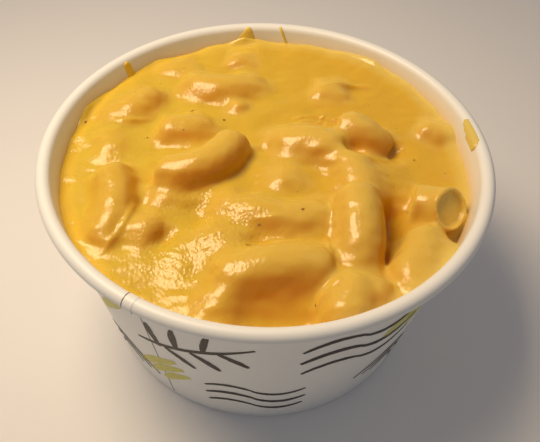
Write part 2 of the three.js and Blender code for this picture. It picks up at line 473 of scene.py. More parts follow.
def makePrint():
    dice = np.random.default_rng(printPlan["seed"])
    ink, washes = [], []
    tilt = math.radians(printPlan["tilt"])
    column = 2 * math.pi / printPlan["columns"]
    for row, (height, size, shift, names) in enumerate(printPlan["rows"]):
        for place in range(printPlan["columns"]):
            astray = dice.uniform(-printPlan["astray"], printPlan["astray"])
            turn = column * (place + shift + astray)
            lean = dice.uniform(-tilt, tilt)
            for stroke in motifs[names[place % len(names)]]:
                ink.append(addStroke(stroke, turn, height, size, lean, dice, printPlan["lift"] * 2))
            if (row + place) % 2:  # every other motif has dabs beside it
                aside = turn + column * printPlan["dabsAside"]
                over = height + printPlan["dabsOver"]
                tipped = lean + printPlan["dabsTilt"]
                for stroke in dabs:
                    washes.append(addStroke(stroke, aside, over, size, tipped, dice, printPlan["lift"]))
    made = [joinAll(ink, "print_ink"), joinAll(washes, "print_wash")]
    for piece in made:
        applyModifier(piece, "SOLIDIFY", thickness=printPlan["depth"] * mm, offset=1)
        smoothShade(piece)
    return made


# The overlap of the wall's paper: a thin flap over the lip and a cut edge down the wall, the edge
# coloured dark as painted shade of its step
seam = {
    "turn": -121.6,  # degrees round the tub
    "wallTo": 46.5,  # mm up
    "wallSteps": 24,
    "lipAngles": range(-50, 181, 11),  # degrees round the lip's section
    "inside": (48, 43, 6),  # mm from and to, and steps
    "thickness": 0.02,
    "flap": {"from": 0.24, "to": 2.2, "lift": 0.05, "lowest": 45.6},  # mm beside the seam, and up
    "edge": {"from": 0, "to": 0.24, "lift": 0.02, "lowest": 1.5},
}


def seamRoute(lift, lowest):  # up the wall, over its lip and in
    wallStops = np.linspace(lowest, seam["wallTo"], seam["wallSteps"])
    outside = [(innerRadius(height) + tub["paper"], height) for height in wallStops]
    over = []
    for angle in np.radians(seam["lipAngles"]):
        height = lipCentreHeight + lipRadius * math.sin(angle)
        over.append((lipCentreRadius + lipRadius * math.cos(angle), height))
    inside = [(innerRadius(height), height) for height in np.linspace(*seam["inside"])]
    route = np.array(outside + over + inside)
    ahead = np.gradient(route, axis=0)
    ahead /= np.linalg.norm(ahead, axis=1, keepdims=True)
    return route + lift * np.stack([ahead[:, 1], -ahead[:, 0]], axis=1)


def makeSeam(part):
    settings = seam[part]
    route = seamRoute(settings["lift"], settings["lowest"])
    clearSelection()
    bpy.ops.mesh.primitive_grid_add(x_subdivisions=len(route) - 1, y_subdivisions=2, size=2 * mm)
    strip = keepAs("seam_" + part)
    spots = placesOf(strip)
    step = np.rint((spots[:, 0] + 1) / 2 * (len(route) - 1)).astype(int)
    reach, height = route[step].T
    beside = settings["from"] + (settings["to"] - settings["from"]) * (spots[:, 1] + 1) / 2
    movePoints(strip, onTub(reach, math.radians(seam["turn"]) + beside / reach, height))
    applyModifier(strip, "SOLIDIFY", thickness=seam["thickness"] * mm, offset=0)
    outwards(strip)
    smoothShade(strip)
    return strip


# Each elbow: the middle of its axis in mm, its heading, pitch and lean, the side it bends to, how far
# it turns, the radius of its bend, its outside diameter with its coat of sauce, how widely the sauce
# blends into it and how round its ends are, in mm.
elbowKeys = (
    "name", "x", "y", "z", "heading", "pitch", "lean", "turn", "sweep", "bend", "size", "blend", "ends",
)
elbowRows = [
    ("backLeft", -21.2, 33.8, 41.6, 20, 0, -40, 1, 30, 12, 8, 3, 3),
    ("backTip", -5.4, 38, 42.7, -5, -6, -25, 1, 30, 12, 6.6, 1.8, 3),
    ("backLong", -9.8, 26.2, 42.5, 3, -3, -20, 1, 80, 13, 9.4, 3.2, 3),
    ("backNub", -6.2, 19.6, 42.7, 60, 40, 0, 1, 20, 12, 4.6, 1.5, 2),
    ("backRight", 16.6, 25.4, 41.7, -5, 0, -40, 1, 30, 12, 8.2, 3.4, 3),
    ("leftBack", -31.2, 18.3, 42.1, 42, 8, -25, 1, 68, 13, 9, 2.8, 4),
    ("leftNub", -34.5, 6.6, 40.2, 10, 0, -40, 1, 20, 12, 9, 5, 4),
    ("leftCurl", -31, -12.6, 42.5, -90, -8, -15, -1, 66, 17, 9, 2.8, 3),
    ("midLeft", -18.2, 11.4, 42.2, 12, -6, -20, 1, 54, 11.5, 8.6, 3.2, 3),
    ("topPiece", -12.6, -2.3, 44.6, 32, 3, -15, 1, 100, 11.8, 9.2, 1.9, 2.4),
    ("underTop", -20.8, -9.6, 40.6, 30, 0, -40, 1, 30, 12, 7.6, 3, 3),
    ("frontLeft", -24, -18.8, 41, -50, 0, -70, 1, 26, 12, 8.6, 3, 4),
    ("centreWide", 10.3, 6.2, 41.6, -13, 6, -29, -1, 66, 13.5, 12.2, 3, 5),
    ("centreNub", 4.6, -4.2, 41, 20, 0, -40, 1, 28, 12, 8, 4, 4),
    ("centreSunk", 4.4, -15.6, 41.4, -3, 0, -18, 1, 72, 13.8, 9, 2.8, 3),
    ("centreLeft", -4.8, -13.4, 41, -20, 0, -30, 1, 50, 12, 8.4, 3, 3),
    ("centreLow", -8.7, -21.4, 40.2, -30, 0, -40, 1, 36, 12, 8.6, 4, 3),
    ("frontLong", 1.6, -28.6, 42.2, 9, 0, -60, -1, 42, 30, 10.6, 3, 4),
    ("frontNub", -9.6, -36, 39.2, 0, 0, -40, 1, 26, 12, 8.4, 4, 4),
    ("frontArch", 15.4, -36.2, 41.9, 60, 4, -30, -1, 56, 11, 9.8, 2.6, 5),
    ("frontSide", 20.2, -33.4, 41.6, -70, -10, -50, 1, 30, 12, 7.6, 1.5, 4),
    ("rightRise", 20.8, -5.6, 42.5, -70, -16, -60, 1, 54, 14, 8.2, 4, 3),
    ("rightBig", 18.9, -20.6, 42.8, -95, -21, -65, -1, 64, 20, 10.2, 1.9, 4),
    ("rightFront", 30.2, -25.8, 41.4, 62, 4, -25, 1, 72, 12, 9.8, 1.6, 4),
    ("rightOpen", 35, -13, 43.6, -34, 24, 50, -1, 44, 11, 9.1, 1.8, 0.8),
    ("rightArch", 22.9, 8.8, 43.9, -28, -20, -70, 1, 62, 10, 8.6, 2.2, 2.2),
    ("rightNub", 40.4, 10.8, 42, -20, 0, -40, 1, 40, 12, 7.6, 1.6, 3),
]
elbows = [dict(zip(elbowKeys, row)) for row in elbowRows]
openEnd = {  # of the one that stands up at the paper
    "elbow": "rightOpen",
    "bore": 7.2,  # mm
    "depth": 1.2,
    "thinner": 0.2,  # mm that its wall is kept thinner than it settles
    "beyond": 2,  # mm that the bore is cut past the end
    "softness": 0.5,
}
openElbow = next(elbow for elbow in elbows if elbow["name"] == openEnd["elbow"])

sauce = {
    "level": 43.2,  # mm over the foot
    "riseToBack": 0.9,
    "slopeWidth": 13,  # mm from the paper over which the sauce rises to it
    "slopeCurve": 1.2,
    "slopeNearby": range(-20, 21, 5),  # degrees to each side that share one slope
    "clingWidth": 1.3,  # mm over which it clings to it
    "clingCurve": 2,
    "around": 180,  # steps round the tub
    "rings": 44,
    "depthKept": 11,  # mm of the top that is remeshed
    "spread": 3,  # mm it first runs past the paper, to be trimmed
    "voxel": 0.4,
    "remeshes": 2,  # each followed by a settling
    "growth": 1,  # mm that the skin moves out where it settles on the blended shape
    "settleSteps": 3,
    "settleMost": 0.7,  # mm a step
    "settleFrom": 0.5,  # mm over its bottom
    "probe": 0.02,  # mm over which a slope is measured
    "softening": 0.5,  # of the way to its neighbours that a point moves
    "softenings": 2,
    "poolLumps": (0.045, 5, 12, 7),  # height, narrowest and widest in mm, seed
    "coatLumps": (0.014, 2, 4.5, 3),
    "lumpWaves": 14,
    "intoPaper": 0.15,  # mm that the edge of the skin sits in the paper
    "trimPast": 0.2,  # mm past that, from where the skin is cut away
    "trimFrom": 2,  # mm over its bottom, up to where it is too
}
# How high over its level the sauce clings to the paper: degrees round the tub, mm
sauceEdge = [
    (-180, 0.4), (-168, 0.2), (-150, 0.9), (-120, 0.3), (-95, 0.6), (-60, 0.2), (-40, 0.8), (-22, 0.2),
    (-5, 0.3), (10, 1), (15, 1.9), (34, 2.1), (43, 2.4), (51, 3.1), (65, 2), (84, 1.5), (90, 2),
    (93, 2.6), (96, 3.4), (99, 2.6), (103, 1.6), (117, 1), (127, 1.9), (137, 1.2), (145, 0.5),
    (153, 1.8), (159, 2.4), (168, 0.8),
]
# Where the sauce lies lower or higher than its level: x, y, reach along x, reach along y, height
sauceMounds = [
    (3, -39.6, 11.5, 4, -3.2),
    (26.2, -16, 3.2, 6, -5),
    (12.6, -17.5, 4, 6, 0.5),
    (19.3, -6.5, 5, 5, 1.8),
    (27, -5, 4, 5, 1.4),
    (38.8, -18.6, 3, 3, -5),
    (23.6, -24, 1.8, 5, -3),
    (28, -32, 4, 4, 1.6),
    (-20.3, -20.3, 3, 2.6, -1.6),
    (35.6, -25.6, 5, 6, 2.4),
    (29, 5, 3.4, 3.4, -1.8),
    (40, 6, 9, 14, -1.1),
    (-42, -4, 6, 10, -0.3),
    (-19, -4, 8, 5, 0.4),
    (-20, -36, 9, 7, -1.1),
    (-15, -22, 7, 5, 0.6),
    (-36, 24, 6, 9, 0.5),
    (-11.5, -15.5, 5, 4, -1.3),
    (-12, -9, 6, 3.5, 0.7),
]
# Folds in its skin: x, y, heading, radius of the bend (under 0 where it bends to the right), length,
# half width and height
sauceFolds = [
    (13.2, 16, -8, -12, 13, 0.55, 1.2),
    (13.6, 14.2, -12, -11, 11, 0.55, 1.1),
    (14, 12.4, -16, -10, 9, 0.55, 1),
    (21, 27, 2, -20, 14, 0.8, 0.55),
    (-30, 13.4, 14, 30, 9, 0.5, 0.3),
    (-28.4, -19.5, -113, -24, 16, 0.5, 0.35),
    (0.4, -17.4, 4, 20, 7, 0.4, 0.25),
    (-10.6, -21.6, 24, 16, 8, 0.4, 0.25),
    (12.2, -23.6, -80, 14, 6, 0.45, 0.45),
    (4.1, -22.3, 5, 20, 7, 0.45, 0.4),
    (10.9, -34.2, 42, -8, 8.6, 0.5, 0.6),
]


def bendFrame(elbow):  # the way its middle runs, and the way to the centre of its bend
    heading, pitch, lean = (math.radians(elbow[key]) for key in ("heading", "pitch", "lean"))
    level = math.cos(pitch)
    along = Vector((math.cos(heading) * level, math.sin(heading) * level, math.sin(pitch)))
    left = up.cross(along).normalized()
    inward = left * elbow["turn"] * math.cos(lean) + along.cross(left) * math.sin(lean)
    return along, inward


def bendCentre(elbow):
    return Vector((elbow["x"], elbow["y"], elbow["z"])) + elbow["bend"] * bendFrame(elbow)[1]


def softMin(first, second, softness):  # the lower of the two, blended where they are close
    near = np.maximum(softness - np.abs(first - second), 0) / softness
    return np.minimum(first, second) - near * near * softness / 4


def edgeRise(x, y, turn=0):  # how high the sauce clings to the paper, there or some degrees on
    stops, rises = zip(*sauceEdge)
    return np.interp(np.degrees(np.arctan2(y, x)) + turn, stops, rises, period=360)


def lumps(places, height, narrowest, widest, seed):  # uneven rise in mm, a sum of waves all ways
    dice = np.random.default_rng(seed)
    rise = 0
    for wave in range(sauce["lumpWaves"]):
        direction = dice.normal(size=3)
        direction *= 2 * math.pi / dice.uniform(narrowest, widest) / np.linalg.norm(direction)
        rise = rise + height * np.sin(places @ direction + dice.uniform(0, 2 * math.pi))
    return rise


def folds(x, y):  # the rise in mm of the wrinkles in the sauce's skin
    rise = 0
    for foldX, foldY, heading, bend, length, width, height in sauceFolds:
        turn = math.radians(heading)
        centreX = foldX - bend * math.sin(turn)
        centreY = foldY + bend * math.cos(turn)
        side = np.hypot(x - centreX, y - centreY) - abs(bend)
        ahead = (x - foldX) * math.cos(turn) + (y - foldY) * math.sin(turn)
        near = (x - centreX) * (foldX - centreX) + (y - centreY) * (foldY - centreY) > 0
        fade = np.clip(1 - (2 * ahead / length) ** 2, 0, 1) * near
        rise = rise + height * fade * np.exp(-((side / width) ** 2))
    return rise


def sauceHeight(x, y):  # of the pool with its mounds and its climb at the paper, from arrays of mm
    reach = innerRadius(sauce["level"])
    height = sauce["level"] + sauce["riseToBack"] * y / reach
    for moundX, moundY, alongX, alongY, rise in sauceMounds:
        height = height + rise * np.exp(-(((x - moundX) / alongX) ** 2) - ((y - moundY) / alongY) ** 2)
    fromPaper = reach - np.hypot(x, y)
    nearby = sauce["slopeNearby"]
    slope = sum(edgeRise(x, y, turn) for turn in nearby) / len(nearby)
    sloping = (1 - np.clip(fromPaper / sauce["slopeWidth"], 0, 1)) ** sauce["slopeCurve"]
    clinging = (1 - np.clip(fromPaper / sauce["clingWidth"], 0, 1)) ** sauce["clingCurve"]
    height = height + slope * sloping + (edgeRise(x, y) - slope) * clinging
    return height + lumps(np.stack([x, y, 0 * x], axis=-1), *sauce["poolLumps"])


# How many mm each place is out from the elbow's skin, past its start, past its end, and out from the
# centre of its bend
def fromElbow(elbow, places):
    along, inward = bendFrame(elbow)
    fromCentre = places - np.array(bendCentre(elbow))
    ahead = fromCentre @ np.array(along)
    outward = -fromCentre @ np.array(inward)
    aside = fromCentre @ np.array(along.cross(inward))
    half = math.radians(elbow["sweep"]) / 2
    skin = np.hypot(np.hypot(ahead, outward) - elbow["bend"], aside) - elbow["size"] / 2
    pastStart = -ahead * math.cos(half) - outward * math.sin(half)
    pastEnd = ahead * math.cos(half) - outward * math.sin(half)
    return skin, pastStart, pastEnd, outward


def foodDistance(places):  # mm out from the sauce with the elbows blended into it
    distance = places[:, 2] - sauceHeight(places[:, 0], places[:, 1])
    for elbow in elbows:
        skin, pastStart, pastEnd, outward = fromElbow(elbow, places)
        past = np.maximum(pastStart, pastEnd)
        distance = softMin(distance, -softMin(-skin, -past, elbow["ends"]), elbow["blend"])
        if elbow is openElbow:
            wall = (elbow["size"] - openEnd["bore"]) / 2
            bore = [skin + wall, -pastEnd - openEnd["depth"], pastEnd - openEnd["beyond"], -outward]
            distance = -softMin(-distance, np.maximum.reduce(bore), openEnd["softness"])
    return distance - lumps(places, *sauce["coatLumps"]) - folds(places[:, 0], places[:, 1])


pasta = {
    "sides": 20,
    "spinStep": 5,  # degrees
    "fewestSteps": 4,
    "roundEnds": 1.2,  # mm
    "roundSteps": 3,
    "roundOver": 1,  # radians, so that only the edges of its ends are rounded
}


def addElbow(elbow, radius, first, last, bore=0):  # from the first to the last angle of its bend
    along, inward = bendFrame(elbow)
    centre = bendCentre(elbow)
    start = centre - elbow["bend"] * (math.cos(first) * inward - math.sin(first) * along)
    facing = math.cos(first) * along + math.sin(first) * inward
    clearSelection()
    bpy.ops.mesh.primitive_circle_add(
        vertices=pasta["sides"],
        radius=radius * mm,
        fill_type="NOTHING" if bore else "NGON",
        location=start * mm,
        rotation=facing.to_track_quat("Z", "Y").to_euler(),
    )
    piece = keepAs("elbow")
    editAll(piece)
    if bore:
        bpy.ops.mesh.extrude_edges_move()
        share = bore / radius
        bpy.ops.transform.resize(value=(share, share, share), center_override=start * mm)
        bpy.ops.mesh.select_all(action="SELECT")
    bpy.ops.mesh.spin(
        steps=max(pasta["fewestSteps"], round(math.degrees(last - first) / pasta["spinStep"])),
        angle=first - last,
        center=centre * mm,
        axis=along.cross(inward),
    )
    leaveEdit()
    outwards(piece)
    return piece


def roundEnds(piece):
    settings = {"width": pasta["roundEnds"] * mm, "segments": pasta["roundSteps"]}
    applyModifier(piece, "BEVEL", limit_method="ANGLE", angle_limit=pasta["roundOver"], **settings)


def addElbows():  # each a little smaller than the shape that its skin settles on
    pieces = []
    for elbow in elbows:
        if elbow is openElbow:
            continue
        half = math.radians(elbow["sweep"]) / 2 - sauce["growth"] / elbow["bend"]
        piece = addElbow(elbow, elbow["size"] / 2 - sauce["growth"], -half, half)
        roundEnds(piece)
        pieces.append(piece)
    return pieces


openEndAngle = math.radians(openElbow["sweep"]) / 2
openStopAngle = openEndAngle - openEnd["depth"] / openElbow["bend"]
openBoreRadius = openEnd["bore"] / 2 + openEnd["thinner"]


def addOpenElbow():  # solid up to the stop of its bore, then a tube
    outer = openElbow["size"] / 2 - openEnd["thinner"]
    return [
        addElbow(openElbow, outer, -openEndAngle, openStopAngle),
        addElbow(openElbow, outer, openStopAngle, openEndAngle, openBoreRadius),
    ]


def clearBore(block):  # no sauce fills the end that stands clear of it
    beyond = openEndAngle + openEnd["beyond"] / openElbow["bend"]
    drill = addElbow(openElbow, openBoreRadius, openStopAngle, beyond)
    applyModifier(block, "BOOLEAN", operation="DIFFERENCE", object=drill, solver="EXACT")
    bpy.data.objects.remove(drill)


def makeSauceBlock():
    level, rings = sauce["level"], sauce["rings"]
    bottom = level - sauce["depthKept"]
    reach = innerRadius(level) + sauce["spread"]
    route = [(reach, bottom), (reach, level)]
    route += [(reach * (1 - ring / rings), level) for ring in range(1, rings)]
    block = turnRoute("sauce_block", sauce["around"], route, closeStart=True, closeEnd=True)
    places = placesOf(block)
    top = places[:, 2] > bottom + 1  # all but its floor
    places[top, 2] = sauceHeight(places[top, 0], places[top, 1])
    movePoints(block, places)
    outwards(block)
    return block


def settle(piece):  # moves the skin of the remeshed body onto the blended shape
    bottom = sauce["level"] - sauce["depthKept"] + sauce["settleFrom"]
    probe, most = sauce["probe"], sauce["settleMost"]
    for step in range(sauce["settleSteps"]):
        places = placesOf(piece)
        top = places[:, 2] > bottom
        distance = foodDistance(places[top])
        slope = [(foodDistance(places[top] + probe * axis) - distance) / probe for axis in np.eye(3)]
        slope = np.stack(slope, axis=1)
        steepness = np.linalg.norm(slope, axis=1, keepdims=True) + 0.01  # never nothing
        places[top] -= slope / steepness * np.clip(distance[:, None] / steepness, -most, most)
        movePoints(piece, places)


# What the finish reads from the shape: steep flanks and low hollows get painted shade from it
depths = {
    "evenSteps": 7,  # rounds of smoothing before the slopes are read
    "surroundSteps": 150,  # more of them before the heights are
    "steep": (0.97, 0.62),  # the normal's z where a flank starts to look steep and where it fully does
    "shadedFacing": (0.75, -0.6, 0),  # the way that flanks turned from the key lamp face, where the painted shade is strongest
    "shadedFacingShare": (0.5, 0.2),  # of the painted shade, on a flank to neither side and least
    "thickCover": 2,  # mm of sauce over the pasta that hides it
    "riseFade": 2.5,  # mm from the paper
    "steepFade": 3,
    "filmAndLightWidth": 3.5,
    "filmAndLightInBore": 0.2,
    "boreWall": 0.3,  # mm in from the open elbow's skin, to where it counts as bore
    "boreFloor": 1,  # mm past the bore's depth
}


def noteDepths(piece):  # for the finish: how each point lies to its surroundings, paper and pasta, and so where painted shade and light go
    places = placesOf(piece)
    fromPaper = innerRadius(places[:, 2]) - np.hypot(places[:, 0], places[:, 1])
    cover = np.full(len(places), np.inf)
    for elbow in elbows:
        skin, pastStart, pastEnd, outward = fromElbow(elbow, places)
        cover = np.minimum(cover, np.maximum(skin, np.maximum(pastStart, pastEnd)))
        if elbow is openElbow:
            inside = (skin < -depths["boreWall"]) & (outward > 0)
            inBore = inside & (pastEnd > -openEnd["depth"] - depths["boreFloor"])
    smoothed = piece.copy()
    smoothed.data = piece.data.copy()
    bpy.context.collection.objects.link(smoothed)
    applyModifier(smoothed, "SMOOTH", factor=1, iterations=depths["evenSteps"])
    normals = np.array([vertex.normal for vertex in smoothed.data.vertices])
    applyModifier(smoothed, "SMOOTH", factor=1, iterations=depths["surroundSteps"])
    rise = places[:, 2] - placesOf(smoothed)[:, 2]
    bpy.data.objects.remove(smoothed)
    rise *= np.clip(fromPaper / depths["riseFade"], 0, 1)
    # painted shade: steep flanks, most those turned from the key lamp, and low hollows
    gentle, steep = depths["steep"]
    sideways, least = depths["shadedFacingShare"]
    steepness = np.clip((gentle - normals[:, 2]) / (gentle - steep), 0, 1)
    steepness *= np.clip(fromPaper / depths["steepFade"], 0, 1)
    steepness *= np.clip(sideways + normals @ np.array(depths["shadedFacing"]), least, 1)
    # the thin film at the paper: its own paler tone, brightened as painted light where the wall shades it
    filmAndLight = np.clip(1 - fromPaper / depths["filmAndLightWidth"], 0, 1)
    # in the open end: no painted shade, and a little painted light
    rise[inBore] = 0
    steepness[inBore] = 0
    filmAndLight[inBore] = depths["filmAndLightInBore"]
    keepOnPoints(piece, "rise", rise)
    keepOnPoints(piece, "steepness", steepness)
    keepOnPoints(piece, "filmAndLight", filmAndLight)
    keepOnPoints(piece, "cover", np.clip(cover / depths["thickCover"], 0, 1))


def setOnPaper(body, height=None):  # the selected points go onto the paper, at a height if given
    places = placesOf(body)
    ring = selectedPoints(body)
    if height is not None:
        places[ring, 2] = height
    reach = innerRadius(places[ring, 2]) + sauce["intoPaper"]
    places[ring, :2] *= (reach / np.hypot(places[ring, 0], places[ring, 1]))[:, None]
    movePoints(body, places)


def trimToTub(body):  # cuts the skin off at the paper, and closes it down the wall and over the base
    places = placesOf(body)
    low = places[:, 2] < sauce["level"] - sauce["depthKept"] + sauce["trimFrom"]
    past = np.hypot(places[:, 0], places[:, 1]) - innerRadius(places[:, 2]) - sauce["intoPaper"]
    editSome(body, low | (past > sauce["trimPast"]))
    bpy.ops.mesh.delete(type="VERT")
    leaveEdit()
    heights = placesOf(body)[:, 2]
    editSome(body, heights == heights.max())
    bpy.ops.mesh.select_linked()  # only the sheet with the food's highest point stays
    bpy.ops.mesh.select_all(action="INVERT")
    bpy.ops.mesh.delete(type="VERT")
    bpy.ops.mesh.select_mode(type="EDGE")
    bpy.ops.mesh.select_all(action="DESELECT")
    bpy.ops.mesh.select_non_manifold(
        extend=False, use_wire=False, use_multi_face=False, use_non_contiguous=False, use_verts=False
    )
    leaveEdit()
    setOnPaper(body)
    enterEdit()
    bpy.ops.mesh.extrude_edges_move()
    leaveEdit()
    setOnPaper(body, tub["baseRecess"] + tub["paper"])
    enterEdit()
    bpy.ops.mesh.edge_face_add()
    bpy.ops.mesh.select_all(action="SELECT")
    bpy.ops.mesh.normals_make_consistent(inside=False)
    leaveEdit()


def makeSauce():
    block = makeSauceBlock()
    clearBore(block)
    body = joinAll([block] + addElbows() + addOpenElbow(), "cheese_sauce")
    voxel = sauce["voxel"] * mm
    for remesh in range(sauce["remeshes"]):
        applyModifier(body, "REMESH", mode="VOXEL", voxel_size=voxel, use_smooth_shade=True)
        settle(body)
    applyModifier(body, "SMOOTH", factor=sauce["softening"], iterations=sauce["softenings"])
    noteDepths(body)
    trimToTub(body)
    smoothShade(body)
    return body


# Smears of sauce on the paper inside the tub, each a row of stops: degrees round, mm up the paper and
# on over its lip, width
smears = [
    [(94.4, 49.4, 1.5), (94.6, 48.4, 2.4), (94.8, 47.4, 3.4), (95.2, 46, 5)],
    [(83.9, 49.7, 0.9), (82.8, 47.6, 0.8), (81.4, 45, 0.9)],
    [(138.4, 48.6, 1.6), (138, 47.6, 2.2), (137.6, 46, 1.9), (137, 44.4, 3)],
    [(5.4, 48, 1.6), (0.8, 48, 1.6)],
    [(7.6, 48.5, 1.8), (0.4, 48.5, 1.6)],
    [(9, 49, 1.8), (0.3, 49, 1.6)],
    [(9.8, 49.5, 1.8), (0.8, 49.5, 1.6)],
    [(9.8, 50, 1.4), (1.6, 50, 1.6)],
]
smearShape = {
    "depth": 0.4,  # mm that it stands on the paper
    "onLip": 0.45,  # mm half its size along the lip's curve
    "sunkOnLip": 0.85,  # of its depth, so that it stays under the lip's top
    "lean": 8,  # degrees, with the wall
    "steps": 7,  # drops from one stop to the next
    "sides": 14,  # of a drop
    "rings": 9,
    "voxel": 0.15,  # mm
    "softening": 0.6,
    "softenings": 4,
}


def paperPlace(along):  # distance from the axis, height and lean of the paper's inner face and its lip
    lean = max(along - lipCentreHeight, 0) / lipRadius
    if lean == 0:
        return innerRadius(along), along, 0
    reach = lipCentreRadius - lipRadius * math.cos(lean)
    return reach, lipCentreHeight + lipRadius * math.sin(lean), lean


def addDrop(turn, along, width):
    here = math.radians(turn)
    reach, height, lean = paperPlace(along)
    sunk = smearShape["depth"] * smearShape["sunkOnLip"] * math.sin(lean) ** 2
    reach += sunk * math.cos(lean)
    height -= sunk * math.sin(lean)
    half = width / 2
    clearSelection()
    bpy.ops.mesh.primitive_uv_sphere_add(
        segments=smearShape["sides"],
        ring_count=smearShape["rings"],
        radius=mm,
        location=(reach * math.cos(here) * mm, reach * math.sin(here) * mm, height * mm),
        rotation=(0, lean or math.radians(smearShape["lean"]), here),
        scale=(smearShape["depth"], half, min(half, smearShape["onLip"]) if lean else half),
    )
    return keepAs("drop")


def makeSmears():
    drops = []
    for stops in smears:
        for first, last in zip(stops, stops[1:]):
            for step in range(smearShape["steps"] + 1):
                share = step / smearShape["steps"]
                stop = [start + (end - start) * share for start, end in zip(first, last)]
                drops.append(addDrop(*stop))
    body = joinAll(drops, "sauce_smears")
    voxel = smearShape["voxel"] * mm
    applyModifier(body, "REMESH", mode="VOXEL", voxel_size=voxel, use_smooth_shade=True)
    softening, softenings = smearShape["softening"], smearShape["softenings"]
    applyModifier(body, "SMOOTH", factor=softening, iterations=softenings)
    smoothShade(body)
    # smears take the film's tone, painted light included
    keepOnPoints(body, "filmAndLight", np.ones(len(body.data.vertices)))
    return body


# Specks of spice and burst bubbles in the sauce: x, y and size in mm
specks = [
    (-41.4, 12.6, 0.9), (-16.9, 17.8, 0.8), (-9.2, 14.9, 0.8), (-26.6, 8.2, 0.6), (-18.2, 8.6, 0.5),
    (-1.2, -18.6, 0.8), (7.6, -15.6, 0.8), (-3.4, -23.6, 1.1), (1, -39.6, 0.6), (9, -36.4, 0.6),
    (33.8, 2.4, 0.6),
]
fineSpecks = {"count": 45, "size": (0.15, 0.32), "within": 41, "seed": 5}  # more of them, scattered
speckShape = {
    "width": (0.28, 0.45),  # least and most, as a share of its size
    "depth": 0.07,  # mm
    "sides": 10,
    "rings": 7,
    "dropFrom": 60,  # mm up, straight down onto the food
}


def makeSpecks(food):
    dice = np.random.default_rng(fineSpecks["seed"])
    rows = list(specks)
    for speck in range(fineSpecks["count"]):
        reach = fineSpecks["within"] * math.sqrt(dice.random())
        turn = dice.uniform(0, 2 * math.pi)
        rows.append((reach * math.cos(turn), reach * math.sin(turn), dice.uniform(*fineSpecks["size"])))
    pieces = []
    for x, y, size in rows:
        above = Vector((x, y, speckShape["dropFrom"])) * mm
        place, normal = food.ray_cast(above, -up)[1:3]
        clearSelection()
        bpy.ops.mesh.primitive_uv_sphere_add(
            segments=speckShape["sides"],
            ring_count=speckShape["rings"],
            radius=mm,
            location=place,
            rotation=normal.to_track_quat("Z", "Y").to_euler(),
            scale=(size / 2, size * dice.uniform(*speckShape["width"]), speckShape["depth"]),
        )
        pieces.append(keepAs("speck"))
    body = joinAll(pieces, "specks")
    smoothShade(body)
    return body


# Clay-coated board: bright and nearly smooth, with a faint grain of fibres and a soft sheen, and
# tinted tan just over the food as painted shade and painted sauce-coloured bounce light
paperLook = {
    "white": "#eff1f0",
    "shadeTinted": "#edd6ac",
    "shadeTintReach": 5,  # mm over the sauce
    "fibre": 0.35,  # mm
    "fibreHeight": 0.012,  # mm
    "roughness": (0.34, 0.5),  # least and most
    "ior": 1.5,
}


def coatedPaper():
    material, tree, shader = newMaterial("coated white paper")
    place = addNode(tree, "TexCoord")
    shadeTint = addNode(tree, "Attribute", {"attribute_name": "shadeTint"})
    white, shadeTinted = linear(paperLook["white"]), linear(paperLook["shadeTinted"])
    colour = addNode(tree, "MixRGB", {"Color1": white, "Color2": shadeTinted}, {"Fac": shadeTint.outputs["Fac"]})
    grain = {"Scale": 1 / (paperLook["fibre"] * mm), "Detail": 3}
    fibre = addNode(tree, "TexNoise", grain, {"Vector": place.outputs["Object"]})
    least, most = paperLook["roughness"]
    rough = addNode(tree, "MapRange", {"To Min": least, "To Max": most}, {"Value": fibre.outputs["Fac"]})
    relief = {"Distance": paperLook["fibreHeight"] * mm, "Strength": 1}
    bump = addNode(tree, "Bump", relief, {"Height": fibre.outputs["Fac"]})
    links = {
        "Base Color": colour.outputs["Color"],
        "Roughness": rough.outputs["Result"],
        "Normal": bump.outputs["Normal"],
    }
    setNode(tree, shader, {"IOR": paperLook["ior"]}, links)
    return material


def paintShadeTint(piece):  # painted shade and bounce colour on the inner face, from the sauce's edge up
    places = placesOf(piece)
    reach = np.hypot(places[:, 0], places[:, 1])
    inside = reach < innerRadius(places[:, 2]) + tub["paper"] / 2
    edge = sauce["level"] + edgeRise(places[:, 0], places[:, 1])
    over = np.clip((places[:, 2] - edge) / paperLook["shadeTintReach"], 0, 1)
    keepOnPoints(piece, "shadeTint", np.where(inside, (1 - over) ** 2, 0))


# Ink laid on by a brush: dense where it was full, and thin in flecks where it ran dry
printLook = {
    "ink": ("#241b18", "#4a3f3a"),  # full and dry
    "wash": ("#cfcb52", "#e4e0a0"),
    "edge": ("#6f6257", "#94877a"),  # painted shade of the step along the seam's cut edge
    "grain": 0.5,  # mm
    "dry": (0.45, 0.75),  # of the grain, where it starts to be dry and where it fully is
    "roughness": 0.5,
    "ior": 1.5,
}


def printed(name, part):
    material, tree, shader = newMaterial(name)
    place = addNode(tree, "TexCoord")
    fleck = {"Scale": 1 / (printLook["grain"] * mm), "Detail": 3}
    grain = addNode(tree, "TexNoise", fleck, {"Vector": place.outputs["Object"]})
    start, end = printLook["dry"]
    dry = addNode(tree, "MapRange", {"From Min": start, "From Max": end}, {"Value": grain.outputs["Fac"]})
    full, thin = (linear(colour) for colour in printLook[part])
    colour = addNode(tree, "MixRGB", {"Color1": full, "Color2": thin}, {"Fac": dry.outputs["Result"]})
    settings = {"Roughness": printLook["roughness"], "IOR": printLook["ior"]}
    setNode(tree, shader, settings, {"Base Color": colour.outputs["Color"]})
    return material
